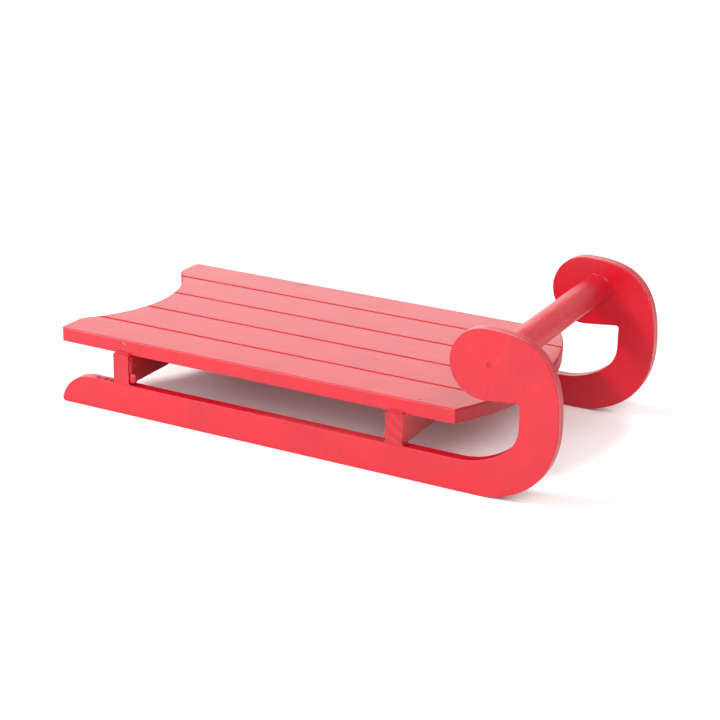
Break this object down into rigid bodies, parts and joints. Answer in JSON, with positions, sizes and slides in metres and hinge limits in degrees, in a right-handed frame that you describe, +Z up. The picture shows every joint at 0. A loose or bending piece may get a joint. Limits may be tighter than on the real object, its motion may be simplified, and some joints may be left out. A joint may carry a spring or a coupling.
{
  "type": "wooden toboggan",
  "caption": "Small red wooden sled with a slatted deck, two runners curled up into round heads at the front, and a round crossbar between them.",
  "frame": {"origin": "middle of the sled's outline on the ground, under the soles", "axes": "+X to the curled front, +Y to the rider's left, +Z up"},
  "size_m": [0.271, 0.131, 0.0805],
  "materials": {
    "painted_runner_board": "brushed satin red paint over sanded board",
    "painted_slat": "brushed satin red paint over sanded softwood",
    "painted_crossbeam": "satin red paint, open end grain",
    "painted_dowel": "satin red paint over a turned dowel",
    "painted_nail_heads": "punched below the surface and painted over",
    "steel_pins": "bright drawn wire"
  },
  "bodies": {
    "root": {"right_runner": "painted_runner_board", "left_runner": "painted_runner_board", "rear_crossbeam": "painted_crossbeam", "front_crossbeam": "painted_crossbeam", "slat_right_outer": "painted_slat", "slat_right_inner": "painted_slat", "slat_centre": "painted_slat", "slat_left_inner": "painted_slat", "slat_left_outer": "painted_slat", "crossbar": "painted_dowel", "crossbar_nails": "painted_nail_heads", "crossbeam_pins": "steel_pins", "slat_brads": "steel_pins"}
  },
  "joints": []
}
